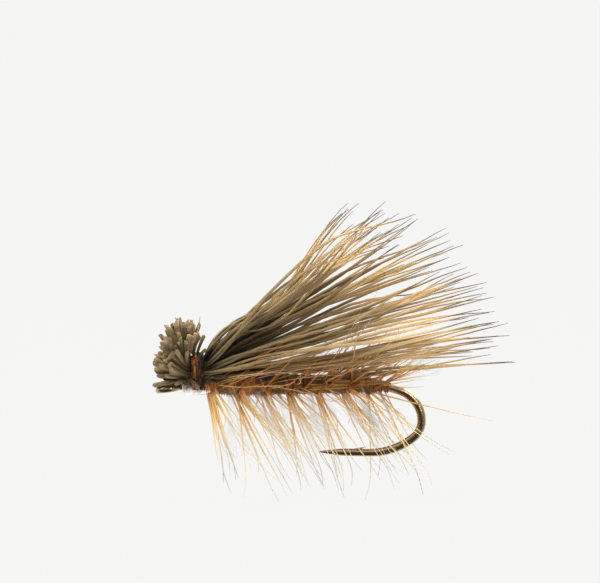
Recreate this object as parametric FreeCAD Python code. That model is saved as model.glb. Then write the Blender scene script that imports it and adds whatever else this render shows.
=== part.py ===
import FreeCAD, Part
import math
import os
import random

from FreeCAD import Vector

# Elk hair caddis dry fly, in millimetres and degrees.
# The origin is the centre of the hook eye, +X runs along the shank to the bend, and +Z is the wing's side.

# Hook
wire_radius = 0.23
eye_wire_radius = 0.20
eye_ring_radius = 0.60
eye_bore_radius = 0.42
eye_joint_share = 0.95
eye_turned_down = 8.0
neck_joins_ring = 0.58
neck_length = 0.25
neck_radius = 3.33
neck_swells_over = 1.2
shank_slope = 0.6
shank_length = 10.87
bend_arcs = ((7.0, 20.6), (1.95, 70.0), (1.35, 50.0), (4.17, 41.2))
spear_length = 3.2
forged_in_plane = 0.27
forged_across = 0.20
forged_from = 5.0
forged_grows_over = 30.0
forged_until = 188.0
forged_fades_over = 25.0
point_radius = 0.015
point_taper = 1.9
point_power = 0.85
tapers_after = 150.0
barb_behind_point = 2.15
barb_length = 0.80
barb_lift = 17.0
barb_radius = 0.11
barb_tip_radius = 0.012

# Thread
thread_radius = 0.05
thread_pitch = 0.105
thread_base_radius = 0.29
thread_base_start = 1.48
tie_in_turns = 3.2
tie_in_length = 0.34
whip_start = 0.90
whip_end = 1.42
whip_turns = 5.0
fit_gap = 0.010

# Body, rib and hackle
body_start = 2.45
body_end = 13.45
body_head_radius = 0.38
body_radius = 0.54
body_tail_radius = 0.33
body_swells_over = 1.6
body_narrows_over = 0.9
body_slims_from = 5.0
body_slims_by = 0.012
rib_radius = 0.045
rib_pitch = 2.0
rib_margin = 0.10
rib_first_angle = 60.0
rib_step_over = 0.27
stem_radius = 0.08
stem_from_tail = 0.85
stem_from_head = 0.15
stem_first_angle = -90.0
hackle_turns = 6
barbs_per_turn = 30
barb_fibre_length = 6.0
barb_fibre_shortest = 0.86
barb_fibre_longest = 1.06
barb_fibre_root = 0.040
barb_fibre_tip = 0.010
barb_sweep = 22.0
barb_sweep_scatter = 13.0
barb_least_sweep = -12.0
barb_most_sweep = 65.0
barb_twist_scatter = 9.0

# The barbs above the shank are parted by the wing and pressed back under it
parted_above = 0.75
parted_twist = 35.0
parted_sweep = 25.0

# Hair bundle, gripped by the thread collar
collar_x = 1.90
collar_turns = 6
collar_half_width = 0.95
collar_egg = 0.25
hair_grip_radius = 0.07
hair_radius = 0.105
hair_tip_radius = 0.012
hair_spacing = 0.155
hair_thinnest = 0.86
hair_thickest = 1.12
bundle_half_width = 0.81
bundle_half_height = 0.775
bundle_height = 1.30
bundle_edge = 0.02

# Hair wing
wing_lowest = 0.5
wing_highest = 47.5
wing_swing = 21.0
wing_length = 19.4
wing_shortening = 0.0025
wing_shorter_by = 0.2
wing_lift = 1.30
wing_scatter = 0.9
wing_leaves_level = 0.45
wing_bows_over = 0.30
wing_waves = 2.2
wing_least_wave = 0.04
wing_most_wave = 0.16
wing_wave_back = 0.3
wing_wave_across = 0.6
wing_rests_above_body = 0.03
wing_free_after_body = 1.5
wing_frees_over = 2.0
hair_swells_over = 2.8
hair_tapers_from = 0.58
hair_taper_power = 1.3

# Cut butts of the same hairs, which make the head
butt_lowest = -4.0
butt_highest = 99.0
butt_swing = 58.0
butt_scatter = 3.5
butt_length = 2.45
butt_crest = 0.25
butt_cut_short = -0.30
butt_cut_long = 0.25
butt_radius = 0.145
butt_thinnest = 0.9
butt_thickest = 1.1
butt_leaves_level = 0.40
butt_bows_over = 0.45

# Loose hairs caught in the head: the routes' control points, and the radii at the ends
bent_hair = ((1.45, 0.30, 2.25), (1.70, 0.35, 3.30), (1.95, 0.30, 3.75), (0.30, 0.10, 3.95))
bent_hair_radii = (0.075, 0.085)
dark_hair = ((1.50, -0.35, 2.25), (1.60, -0.40, 2.90), (1.95, -0.45, 3.60), (2.02, -0.50, 4.60))
dark_hair_radii = (0.09, 0.012)

# Cement on the underside of the whip finish
film_start = 0.84
film_end = 1.47
film_thickness = 0.05
film_top = 0.20

# Largest share by which a finished tube's volume may differ from its radii's
volume_tolerance = 0.06

# The hairs run straight through the collar for this far each side of its middle
collar_grip = 0.5 * collar_turns * thread_pitch + thread_radius + 0.03

# Control points round each spline section, and sections along each length
section_points = 8
eye_steps = 2
neck_steps = 3
shank_steps = 10
least_bend_steps = 4
bend_step = 8.0
spear_steps = 16
base_steps = 12
body_steps = 24
film_steps = 6
butt_steps = 8
wing_steps = 20
wing_step_power = 1.3
stray_steps = 16
coil_steps = 36

seed = 12


def direction(rise, swing):
    """Unit vector to the rear, lifted by rise and turned to +Y by swing."""
    up = math.radians(rise)
    side = math.radians(swing)
    return Vector(math.cos(up) * math.cos(side), math.sin(side), math.sin(up) * math.cos(side))


def ease(value):
    """Smooth step from 0 to 1."""
    value = min(1.0, max(0.0, value))
    return value * value * (3.0 - 2.0 * value)


def bezier(start, leaving, arriving, end, share):
    """Point of a cubic curve at a share of its parameter."""
    rest = 1.0 - share
    near = start * (rest ** 3) + leaving * (3.0 * rest * rest * share)
    return near + arriving * (3.0 * rest * share * share) + end * (share ** 3)


def section(centre, normal, tangent, along_normal, along_side):
    """Control points of an elliptical section across tangent."""
    side = tangent.cross(normal)
    spread = 3.0 / (2.0 + math.cos(2.0 * math.pi / section_points))
    poles = []
    for number in range(section_points):
        angle = 2.0 * math.pi * number / section_points
        reach = normal * (along_normal * math.cos(angle)) + side * (along_side * math.sin(angle))
        poles.append(centre + reach * spread)
    return poles


def skin(sections):
    """Closed solid with a smooth spline skin over the sections and a flat face at each end."""
    poles = [[row[number] for row in sections] for number in range(section_points)]
    spans = len(sections) - 3
    surface = Part.BSplineSurface()
    surface.buildFromPolesMultsKnots(
        poles,
        [1] * (section_points + 1), [4] + [1] * (spans - 1) + [4],
        [float(knot) for knot in range(section_points + 1)], [float(knot) for knot in range(spans + 1)],
        True, False, 3, 3,
    )
    side = surface.toShape()
    ends = [Part.Face(Part.Wire([edge])) for edge in side.Edges if edge.isClosed()]
    shell = Part.Shell([side] + ends)
    shell.sewShape()
    solid = Part.Solid(shell)
    if solid.Volume < 0.0:
        solid.reverse()
    return solid


def carried_frames(points):
    """Tangent and normal at each point, with the normal carried along without twist."""
    frames = []
    normal = None
    for index in range(len(points)):
        before = points[max(0, index - 1)]
        after = points[min(len(points) - 1, index + 1)]
        tangent = (after - before).normalize()
        if normal is None:
            guide = Vector(0, 0, 1) if abs(tangent.z) < 0.9 else Vector(0, 1, 0)
        else:
            guide = normal
        normal = (guide - tangent * guide.dot(tangent)).normalize()
        frames.append((tangent, normal))
    return frames


def tube(points, radii):
    """Closed round solid along points, with a radius at each."""
    sections = []
    for point, radius, (tangent, normal) in zip(points, radii, carried_frames(points)):
        sections.append(section(point, normal, tangent, radius, radius))
    solid = skin(sections)
    expected = 0.0
    for index in range(len(points) - 1):
        first, second = radii[index], radii[index + 1]
        mean_area = math.pi * (first * first + first * second + second * second) / 3.0
        expected += mean_area * (points[index + 1] - points[index]).Length
    if abs(solid.Volume / expected - 1.0) > volume_tolerance:
        raise RuntimeError("a tube's volume is %.4f, not %.4f" % (solid.Volume, expected))
    return solid


def save(name, solids):
    """Write one node and report what it holds."""
    for solid in solids:
        if not solid.isValid() or solid.Volume <= 0.0:
            raise RuntimeError(name + " has a bad solid")
    shape = solids[0] if len(solids) == 1 else Part.makeCompound(solids)
    shape.exportStep("parts/" + name + ".step")
    volume = sum(solid.Volume for solid in solids)
    print("%-22s %3d solids %9.4f mm3" % (name, len(solids), volume))


# ---- Hook wire ---------------------------------------------------------------------------------

def straight(stations, length, steps):
    """Carry the wire's centre line straight on."""
    x, z, heading = stations[-1]
    for step in range(1, steps + 1):
        run = length * step / steps
        stations.append((x + run * math.cos(heading), z + run * math.sin(heading), heading))


def arc(stations, radius, angle, steps):
    """Carry the centre line round a downward arc."""
    x, z, heading = stations[-1]
    centre_x = x + radius * math.sin(heading)
    centre_z = z - radius * math.cos(heading)
    for step in range(1, steps + 1):
        turned = heading - math.radians(angle) * step / steps
        stations.append((centre_x - radius * math.sin(turned), centre_z + radius * math.cos(turned), turned))


def hook_line():
    """Centre line of the hook as (x, z, heading), from the eye to the point."""
    down = math.radians(eye_turned_down)
    stations = [(neck_joins_ring * math.cos(down), neck_joins_ring * math.sin(down), down)]
    straight(stations, neck_length, eye_steps)
    arc(stations, neck_radius, eye_turned_down - shank_slope, neck_steps)
    straight(stations, shank_length, shank_steps)
    for radius, angle in bend_arcs:
        arc(stations, radius, angle, max(least_bend_steps, round(angle / bend_step)))
    straight(stations, spear_length, spear_steps)
    return stations


def wire_sizes(station, point):
    """Half sizes of the wire in the hook's plane and across it."""
    x, z, heading = station
    turned = -math.degrees(heading)
    neck = ease((x - neck_joins_ring) / neck_swells_over)
    joint = eye_wire_radius * eye_joint_share
    plain = joint + (wire_radius - joint) * neck
    forged = ease((turned - forged_from) / forged_grows_over)
    forged *= ease((forged_until - turned) / forged_fades_over)
    in_plane = plain + (forged_in_plane - plain) * forged
    across = plain + (forged_across - plain) * forged
    if turned > tapers_after:
        share = min(1.0, math.hypot(x - point[0], z - point[1]) / point_taper)
        slim = math.sin(0.5 * math.pi * share) ** point_power
        in_plane = point_radius + (in_plane - point_radius) * slim
        across = point_radius + (across - point_radius) * slim
    return in_plane, across


def make_hook(line):
    """One wire: ring eye, neck, shank, forged bend, spear and barb."""
    sections = []
    for station in line:
        x, z, heading = station
        tangent = Vector(math.cos(heading), 0, math.sin(heading))
        normal = Vector(-math.sin(heading), 0, math.cos(heading))
        in_plane, across = wire_sizes(station, line[-1])
        sections.append(section(Vector(x, 0, z), normal, tangent, in_plane, across))
    wire = skin(sections)

    down = math.radians(eye_turned_down)
    eye_axis = Vector(math.sin(down), 0, -math.cos(down))
    eye = Part.makeTorus(eye_ring_radius, eye_wire_radius, Vector(0, 0, 0), eye_axis)
    bore = Part.makeCylinder(eye_bore_radius, 2.0, eye_axis * -1.0, eye_axis)

    tip_x, tip_z, heading = line[-1]
    back = Vector(-math.cos(heading), 0, -math.sin(heading))
    lift = Vector(0, 0, 1)
    root = Vector(tip_x, 0, tip_z) + back * barb_behind_point + lift * (wire_radius - barb_radius)
    angle = math.radians(barb_lift)
    aim = back * math.cos(angle) + lift * math.sin(angle)
    barb = Part.makeCone(barb_radius, barb_tip_radius, barb_length, root, aim)
    return wire.fuse([eye.cut(bore), barb])


def arc_point(x, station, radius):
    """Centre line of a downward arc through station, at x, as (z, heading)."""
    from_x, from_z, heading = station
    centre_x = from_x + radius * math.sin(heading)
    centre_z = from_z - radius * math.cos(heading)
    turned = math.asin((centre_x - x) / radius)
    return centre_z + radius * math.cos(turned), turned


def shank_frame(x):
    """Centre, tangent and upward normal of the wire at x, from the neck to the start of the bend."""
    start_x, start_z, heading = shank_begin
    end_x = start_x + shank_length * math.cos(heading)
    end_z = start_z + shank_length * math.sin(heading)
    if x < start_x:
        z, turned = arc_point(x, shank_begin, neck_radius)
    elif x > end_x:
        z, turned = arc_point(x, (end_x, end_z, heading), bend_arcs[0][0])
    else:
        z, turned = start_z + (x - start_x) * math.tan(heading), heading
    tangent = Vector(math.cos(turned), 0, math.sin(turned))
    normal = Vector(-math.sin(turned), 0, math.cos(turned))
    return Vector(x, 0, z), tangent, normal


# ---- Windings along the shank ------------------------------------------------------------------

def body_profile(x):
    """Outer radius of the dubbed body at x."""
    if x < body_start or x > body_end:
        return thread_base_radius
    from_head = ease((x - body_start) / body_swells_over)
    to_tail = ease((body_end - x) / body_narrows_over)
    waist = body_radius - body_slims_by * max(0.0, x - body_slims_from)
    radius = body_head_radius + (waist - body_head_radius) * from_head
    return body_tail_radius + (radius - body_tail_radius) * to_tail


def sleeve(start, end, outer, bore, steps):
    """Hollow round solid on the wire; outer gives its radius at each x."""
    skins = []
    for radius_at in (outer, lambda x: bore):
        sections = []
        for step in range(steps + 1):
            x = start + (end - start) * step / steps
            centre, tangent, normal = shank_frame(x)
            radius = radius_at(x)
            sections.append(section(centre, normal, tangent, radius, radius))
        skins.append(skin(sections))
    return skins[0].cut(skins[1])


def winding(start, end, turns, radius_at, first_angle, hand):
    """Points of a coil round the wire, from start to end."""
    points = []
    steps = round(turns * coil_steps)
    for step in range(steps + 1):
        share = step / steps
        centre, tangent, normal = shank_frame(start + (end - start) * share)
        angle = math.radians(first_angle) + hand * 2.0 * math.pi * turns * share
        side = Vector(0, 1, 0)
        spoke = side * math.cos(angle) + normal * math.sin(angle)
        points.append(centre + spoke * radius_at(centre.x))
    return points


def stem_line():
    """Centre line of the hackle stem, on the body from its tail to its head."""
    def height(x):
        return body_profile(x) + stem_radius + fit_gap

    return winding(body_end - stem_from_tail, body_start + stem_from_head, hackle_turns, height,
                   stem_first_angle, 1.0)


def rib_line(stem):
    """Centre line of the rib wire, wound against the hackle and lifted over its stem."""
    start = body_end - rib_margin
    end = body_start + rib_margin

    def height(x):
        return body_profile(x) + rib_radius + fit_gap

    points = []
    for point in winding(start, end, (start - end) / rib_pitch, height, rib_first_angle, -1.0):
        centre, tangent, normal = shank_frame(point.x)
        nearest = min((point - other).Length for other in stem)
        lift = 2.0 * (stem_radius + fit_gap) * math.exp(-(nearest / rib_step_over) ** 4)
        points.append(point + (point - centre).normalize() * lift)
    return points


def hackle_barbs(stem):
    """Barbs that stand out from the stem, one list for each turn, from the tail to the head."""
    draws = random.Random(seed)
    count = hackle_turns * barbs_per_turn
    groups = [[] for turn in range(hackle_turns)]
    for number in range(count):
        place = (number + 0.5) / count * (len(stem) - 1)
        index = min(int(place), len(stem) - 2)
        root = stem[index] + (stem[index + 1] - stem[index]) * (place - index)
        centre, tangent, normal = shank_frame(root.x)
        spoke = (root - centre).normalize()
        around = tangent.cross(spoke)
        lean = barb_sweep + draws.gauss(0.0, barb_sweep_scatter)
        twist = draws.gauss(0.0, barb_twist_scatter)
        if spoke.z > parted_above:
            twist += parted_twist if spoke.y < 0.0 else -parted_twist
            lean += parted_sweep
        lean = min(barb_most_sweep, max(barb_least_sweep, lean))
        aim = spoke + tangent * math.tan(math.radians(lean))
        aim = (aim + around * math.tan(math.radians(twist))).normalize()
        length = barb_fibre_length * draws.uniform(barb_fibre_shortest, barb_fibre_longest)
        base = root + aim * (stem_radius + fit_gap)
        cone = Part.makeCone(barb_fibre_root, barb_fibre_tip, length, base, aim)
        groups[number * hackle_turns // count].append(cone)
    return groups


# ---- Hair --------------------------------------------------------------------------------------

def hair_seats():
    """Rows of close-packed hairs in the collar, as (across, up) from the bundle's centre, lowest first."""
    row_pitch = hair_spacing * math.sqrt(0.75)
    half_rows = int(bundle_half_height / row_pitch)
    rows = []
    for row in range(-half_rows, half_rows + 1):
        up = row * row_pitch
        reach = bundle_half_width * math.sqrt(1.0 - (up / bundle_half_height) ** 2) + bundle_edge
        shift = 0.5 * (row % 2)
        half_count = int(reach / hair_spacing) + 1
        seats = []
        for place in range(-half_count, half_count + 1):
            across = (place + shift) * hair_spacing
            if abs(across) <= reach:
                seats.append((across, up))
        rows.append(seats)
    return rows


def clear_of_body(point, gap):
    """Push a point out from the shank until the body has room beneath it."""
    centre, tangent, normal = shank_frame(min(point.x, body_end))
    spoke = Vector(0, point.y, point.z - centre.z)
    distance = spoke.Length
    held = ease((body_end + wing_free_after_body - point.x) / wing_frees_over)
    least = (body_profile(point.x) + gap) * held
    wanted = (distance ** 6 + least ** 6) ** (1.0 / 6.0)
    return point + spoke * (wanted / distance - 1.0)


def distances(points):
    """Length along the points, from the first, at each."""
    run = [0.0]
    for first, second in zip(points, points[1:]):
        run.append(run[-1] + (second - first).Length)
    return run


def butt_half(seat, row_share, thickness, draws):
    """Points and radii of a hair from the collar's front to its cut end."""
    across, up = seat
    row_reach = bundle_half_width * math.sqrt(max(0.02, 1.0 - (up / bundle_half_height) ** 2))
    forward = butt_lowest + (butt_highest - butt_lowest) * row_share + draws.gauss(0.0, butt_scatter)
    spread = butt_swing * max(-1.0, min(1.0, across / row_reach)) + draws.gauss(0.0, butt_scatter)
    stub = butt_length + butt_crest * math.sin(math.radians(forward))
    stub += draws.uniform(butt_cut_short, butt_cut_long)
    full = butt_radius * thickness * draws.uniform(butt_thinnest, butt_thickest)
    front = Vector(collar_x - collar_grip, across, bundle_height + up)
    aim = direction(180.0 - forward, spread)
    leaving = front - Vector(butt_leaves_level, 0, 0)
    arriving = front - Vector(0.55 * butt_leaves_level, 0, 0) + aim * (butt_bows_over * stub)
    points = []
    radii = []
    for step in range(butt_steps + 1):
        share = step / butt_steps
        points.append(bezier(front, leaving, arriving, front + aim * stub, share))
        radii.append(hair_grip_radius + (full - hair_grip_radius) * ease(share))
    return points, radii


def wing_half(seat, row_share, thickness, draws):
    """Points and radii of a hair from the collar's back to its fine tip."""
    across, up = seat
    rise = wing_lowest + (wing_highest - wing_lowest) * row_share + draws.gauss(0.0, wing_scatter)
    swing = wing_swing * across / bundle_half_width + draws.gauss(0.0, wing_scatter)
    reach = (wing_length - wing_shortening * rise * rise) * (1.0 - wing_shorter_by * draws.random() ** 2)
    wave = draws.uniform(wing_least_wave, wing_most_wave)
    phase = draws.uniform(0.0, 2.0 * math.pi)
    rear = Vector(collar_x + collar_grip, across, bundle_height + up)
    tip = Vector(collar_x + collar_grip, 0, bundle_height) + direction(rise, swing) * reach
    leaving = rear + Vector(wing_leaves_level, 0, 0)
    arriving = rear + direction(rise * wing_lift, swing) * (wing_bows_over * reach)
    points = []
    for step in range(wing_steps + 1):
        share = (step / wing_steps) ** wing_step_power
        point = bezier(rear, leaving, arriving, tip, share)
        sway = wave * share * math.sin(phase + 2.0 * math.pi * wing_waves * share)
        point = point + Vector(-wing_wave_back * sway, wing_wave_across * sway * math.cos(phase), sway)
        points.append(clear_of_body(point, hair_radius + wing_rests_above_body))
    radii = []
    runs = distances(points)
    for run in runs:
        full = hair_grip_radius + (hair_radius * thickness - hair_grip_radius) * ease(run / hair_swells_over)
        tapered = max(0.0, (run / runs[-1] - hair_tapers_from) / (1.0 - hair_tapers_from))
        radii.append(full + (hair_tip_radius - full) * tapered ** hair_taper_power)
    return points, radii


def hair(seat, row_share, draws):
    """One elk hair, from its cut butt through the collar to its fine tip."""
    thickness = draws.uniform(hair_thinnest, hair_thickest)
    butt_points, butt_radii = butt_half(seat, row_share, thickness, draws)
    wing_points, wing_radii = wing_half(seat, row_share, thickness, draws)
    return tube(butt_points[::-1] + wing_points, butt_radii[::-1] + wing_radii)


def stray(route, radii):
    """Loose hair along a cubic route, with a radius at each end."""
    start, leaving, arriving, end = [Vector(*corner) for corner in route]
    shares = [step / stray_steps for step in range(stray_steps + 1)]
    points = [bezier(start, leaving, arriving, end, share) for share in shares]
    return tube(points, [radii[0] + (radii[1] - radii[0]) * share for share in shares])


def collar_line():
    """Coil of thread round the shank and the bundle together, egg-shaped in section."""
    centre, tangent, normal = shank_frame(collar_x)
    bottom = centre.z - thread_base_radius - thread_radius - fit_gap
    top = bundle_height + bundle_half_height + hair_grip_radius + thread_radius + fit_gap
    middle = 0.5 * (top + bottom)
    points = []
    for step in range(collar_turns * coil_steps + 1):
        turn = step / coil_steps
        angle = 2.0 * math.pi * turn - 0.5 * math.pi
        x = collar_x + thread_pitch * (turn - 0.5 * collar_turns)
        y = collar_half_width * math.cos(angle) * (1.0 + collar_egg * math.sin(angle))
        points.append(Vector(x, y, middle + 0.5 * (top - bottom) * math.sin(angle)))
    return points


# ---- Assembly ----------------------------------------------------------------------------------

os.makedirs("parts", exist_ok=True)

line = hook_line()
shank_begin = line[eye_steps + neck_steps]
save("hook", [make_hook(line)])

base = sleeve(thread_base_start, body_end, lambda x: thread_base_radius, wire_radius + fit_gap, base_steps)
save("thread_base", [base])

coil_radius = wire_radius + thread_radius + fit_gap
tie_in_start = body_end + thread_radius + fit_gap
tie_in = winding(tie_in_start, tie_in_start + tie_in_length, tie_in_turns, lambda x: coil_radius, 0.0, 1.0)
save("rear_tie_in", [tube(tie_in, [thread_radius] * len(tie_in))])

stem = stem_line()
save("dubbed_body", [sleeve(body_start, body_end, body_profile, thread_base_radius + fit_gap, body_steps)])
save("hackle_stem", [tube(stem, [stem_radius] * len(stem))])

rib = rib_line(stem)
save("rib_wire", [tube(rib, [rib_radius] * len(rib))])

for number, group in enumerate(hackle_barbs(stem), 1):
    save("hackle_barbs_%d" % number, group)

hair_draws = random.Random(seed)
rows = hair_seats()
for number, seats in enumerate(rows):
    share = number / (len(rows) - 1)
    hairs = [hair(seat, share, hair_draws) for seat in seats]
    save("elk_hair_row_%02d" % (number + 1), hairs)
save("stray_hairs", [stray(bent_hair, bent_hair_radii), stray(dark_hair, dark_hair_radii)])

collar = collar_line()
save("thread_collar", [tube(collar, [thread_radius] * len(collar))])

whip = winding(whip_start, whip_end, whip_turns, lambda x: coil_radius, 90.0, 1.0)
save("whip_finish", [tube(whip, [thread_radius] * len(whip))])

film_bore = coil_radius + thread_radius + fit_gap
film = sleeve(film_start, film_end, lambda x: film_bore + film_thickness, film_bore, film_steps)
above = Part.makeBox(2.0, 2.0, 1.0, Vector(0.2, -1.0, film_top))
save("head_cement", [film.cut(above)])
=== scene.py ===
import random
from math import asin, cos, exp, hypot, pi, radians, sin, sqrt, tan

import bpy
import numpy as np
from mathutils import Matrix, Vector


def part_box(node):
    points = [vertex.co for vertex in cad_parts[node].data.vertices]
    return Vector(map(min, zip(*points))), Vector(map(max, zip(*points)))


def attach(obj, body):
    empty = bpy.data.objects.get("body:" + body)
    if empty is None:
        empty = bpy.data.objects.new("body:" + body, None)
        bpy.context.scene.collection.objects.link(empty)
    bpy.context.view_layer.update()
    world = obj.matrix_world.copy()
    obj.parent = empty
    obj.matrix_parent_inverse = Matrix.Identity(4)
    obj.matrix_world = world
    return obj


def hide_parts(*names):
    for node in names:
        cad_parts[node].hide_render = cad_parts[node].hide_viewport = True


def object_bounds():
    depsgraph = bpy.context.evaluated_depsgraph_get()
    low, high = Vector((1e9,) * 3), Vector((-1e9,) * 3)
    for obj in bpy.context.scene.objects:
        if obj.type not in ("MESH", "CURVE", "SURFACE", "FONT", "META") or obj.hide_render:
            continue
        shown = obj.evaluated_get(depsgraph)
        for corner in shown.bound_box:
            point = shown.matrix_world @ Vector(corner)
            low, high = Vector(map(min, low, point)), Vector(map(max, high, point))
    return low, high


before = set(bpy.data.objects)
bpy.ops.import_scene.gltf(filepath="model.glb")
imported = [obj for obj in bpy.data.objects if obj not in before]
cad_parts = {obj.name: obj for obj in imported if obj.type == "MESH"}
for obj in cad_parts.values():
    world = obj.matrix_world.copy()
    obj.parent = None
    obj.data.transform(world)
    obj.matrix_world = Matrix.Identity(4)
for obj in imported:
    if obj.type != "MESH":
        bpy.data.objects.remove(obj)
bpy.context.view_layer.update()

# Lengths are in millimetres until a mesh is written, and angles are in degrees.
MM = 0.001


def box_mm(node):
    """A CAD node's lowest and highest corners, in millimetres."""
    low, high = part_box(node)
    return Vector(low) / MM, Vector(high) / MM


collar_low, collar_high = box_mm("thread_collar")
hook_low = box_mm("hook")[0]
collar_x = 0.5 * (collar_low.x + collar_high.x)

# Hook wire, as far as the windings need it
neck_joins_ring = 0.58
neck_length = 0.25
neck_radius = 3.33
eye_turned_down = 8.0
shank_slope = 0.6
shank_length = 10.87
bend_radius = 7.0

# Body and hackle
body_start = collar_x + 0.55
body_end = collar_x + 11.55
thread_base_radius = 0.29
body_head_radius = 0.38
body_radius = 0.54
body_tail_radius = 0.33
stem_radius = 0.08
stem_from_tail = 0.85
stem_from_head = 0.15
fit_gap = 0.01
hackle_turns = 6
barbs_per_turn = 30
barb_fibre_length = 6.0
barb_sweep = 22.0
coil_steps = 36

# Hair
collar_grip = 0.5 * (collar_high.x - collar_low.x) + 0.03
hair_grip_radius = 0.07
hair_radius = 0.105
hair_tip_radius = 0.013
hair_uneven = (0.86, 1.12)
hair_spacing = 0.155
hair_swells_over = 1.5
hair_tapers_from = 0.58
bundle_half_width = 0.81
bundle_half_height = 0.775
bundle_height = collar_high.z - bundle_half_height - 0.18
wing_lowest = 0.5
wing_highest = 47.5
wing_swing = 21.0
wing_length = 19.4
wing_shortening = 0.0025
wing_lift = 1.3
wing_scatter = 0.9
wing_wave = (0.04, 0.16)
wing_waves = 1.7
wing_steps = 60
wing_step_power = 1.3
wing_leaves_straight = 0.45
wing_arrives_from = 0.3
lock_count = 20
lock_crowding = 0.065
lock_swing_weight = 0.35
lock_swing_share = 0.4
lock_pull = (0.7, 1.0)
lock_pull_above = 0.28
lock_pull_most = 1.04
tip_hook = 0.44
tip_hook_from = 0.6
upper_sag = 0.45
upper_sag_from = 0.4
upper_arch = 0.13
upper_slimming = 0.25
crimp_height = (0.008, 0.026)
crimp_pitch = (0.9, 1.6)
butt_lowest = -4.0
butt_highest = 99.0
butt_swing = 58.0
butt_length = 2.45
butt_crest = 0.25
butt_radius = 0.136
butt_steps = 14
butt_scatter = 3.5
butt_swelling = (0.9, 1.1)
butt_evened = 0.55
butt_uneven = (-0.3, 0.25)
butt_cut_short = 0.16
butt_cut_slant = 0.55
butt_pinch = (0.72, 1.0)
crown_length = 0.4
crown_at = 64.0
crown_width = 17.0
chin_cut = 0.22
chin_until = 24.0
nape_cut = 0.42
nape_from = 70.0
nape_over = 18.0
filler_count = 34
filler_lowest = -8.0
filler_span = 72.0
filler_spread = (3.0, 56.0)
filler_length = (1.9, 2.34)
underfur_count = 260

# Collar, cement, feather and fur
wrap_count = 30
wrap_steps = 72
wrap_turned = 0.985
filament_count = 70
filament_radius = 0.013
film_half_length = 1.2
film_lumps = 30
film_columns = 120
film_sides = 64
film_top_radius = 0.2
barb_tip_radius = 0.01
barb_taper = 0.75
swept_tip_radius = 0.007
swept_taper = 0.8
flank_barbs = 15
pressed_barbs = 26
tail_barbs = 9
down_patches = 18
down_per_patch = 30
down_radius = 0.0085
down_root_radius = 0.003
fur_count = 3400
core_steps = 150
core_sunk = 0.035
seed = 12

# Stage, light and camera
stage_flat = 450.0
stage_sweep = 400.0
stage_wall = 900.0
stage_sides = 96
stage_steps = 24
floor_gap = 0.05
lit_point = Vector((8.0, 0.0, 2.0))
frame_width = 37.5
camera_distance = 300.0
camera_elevation = 2.5
sensor_width = 36.0


def direction(rise, swing):
    """Unit vector to the rear, lifted by rise and turned to +Y by swing."""
    up = radians(rise)
    side = radians(swing)
    return Vector((cos(up) * cos(side), sin(side), sin(up) * cos(side)))


def clamped(value):
    """The value, held between 0 and 1."""
    return min(1.0, max(0.0, value))


def ease(value):
    """Smooth step from 0 to 1."""
    value = clamped(value)
    return value * value * (3.0 - 2.0 * value)


def shares(steps):
    """Even shares from 0 to 1."""
    return [step / steps for step in range(steps + 1)]


def bezier(start, leaving, arriving, end, share):
    """Point of a cubic curve at a share of its parameter."""
    rest = 1.0 - share
    near = start * (rest ** 3) + leaving * (3.0 * rest * rest * share)
    return near + arriving * (3.0 * rest * share * share) + end * (share ** 3)


def curve(start, leaving, arriving, end, steps):
    """Points of a cubic curve at even shares of its parameter."""
    return [bezier(start, leaving, arriving, end, share) for share in shares(steps)]


def run_lengths(points):
    """Length along the points, from the first, at each."""
    run = [0.0]
    for first, second in zip(points, points[1:]):
        run.append(run[-1] + (second - first).length)
    return run


def ring_faces(first, rows, sides, reverse=False):
    """Quads between rings of points that follow each other in a mesh."""
    faces = []
    for row in range(rows - 1):
        low = first + row * sides
        for side in range(sides):
            after = (side + 1) % sides
            face = (low + side, low + after, low + sides + after, low + sides + side)
            faces.append((face[0], face[3], face[2], face[1]) if reverse else face)
    return faces


def shank_start():
    """Where the neck's arc meets the straight shank, as (x, z, heading)."""
    down = radians(eye_turned_down)
    level = radians(shank_slope)
    run = neck_joins_ring + neck_length
    x = run * cos(down) + neck_radius * (sin(down) - sin(level))
    z = run * sin(down) + neck_radius * (cos(level) - cos(down))
    return x, z, level


shank_begin = shank_start()


def arc_point(x, station, radius):
    """Centre line of a downward arc through station, at x, as (z, heading)."""
    from_x, from_z, heading = station
    centre_x = from_x + radius * sin(heading)
    centre_z = from_z - radius * cos(heading)
    turned = asin((centre_x - x) / radius)
    return centre_z + radius * cos(turned), turned


def shank_frame(x):
    """Centre, tangent and upward normal of the wire at x, from the neck to the start of the bend."""
    start_x, start_z, heading = shank_begin
    end_x = start_x + shank_length * cos(heading)
    end_z = start_z + shank_length * sin(heading)
    if x < start_x:
        z, turned = arc_point(x, shank_begin, neck_radius)
    elif x > end_x:
        z, turned = arc_point(x, (end_x, end_z, heading), bend_radius)
    else:
        z, turned = start_z + (x - start_x) * tan(heading), heading
    tangent = Vector((cos(turned), 0, sin(turned)))
    normal = Vector((-sin(turned), 0, cos(turned)))
    return Vector((x, 0, z)), tangent, normal


def body_profile(x):
    """Outer radius of the dubbed body at x."""
    if x < body_start or x > body_end:
        return thread_base_radius
    from_head = ease((x - body_start) / 1.6)
    to_tail = ease((body_end - x) / 0.9)
    waist = body_radius - 0.012 * max(0.0, x - 5.0)
    radius = body_head_radius + (waist - body_head_radius) * from_head
    return body_tail_radius + (radius - body_tail_radius) * to_tail


def on_shank(x, angle, radius):
    """Point at a radius and an angle round the wire, with 90 degrees upwards."""
    centre, _, normal = shank_frame(x)
    turned = radians(angle)
    return centre + Vector((0, 1, 0)) * (radius * cos(turned)) + normal * (radius * sin(turned))


def taper(width, tip, power, steps):
    """Radii that fall from width to tip."""
    return [tip + (width - tip) * (1.0 - share) ** power for share in shares(steps)]


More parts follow.
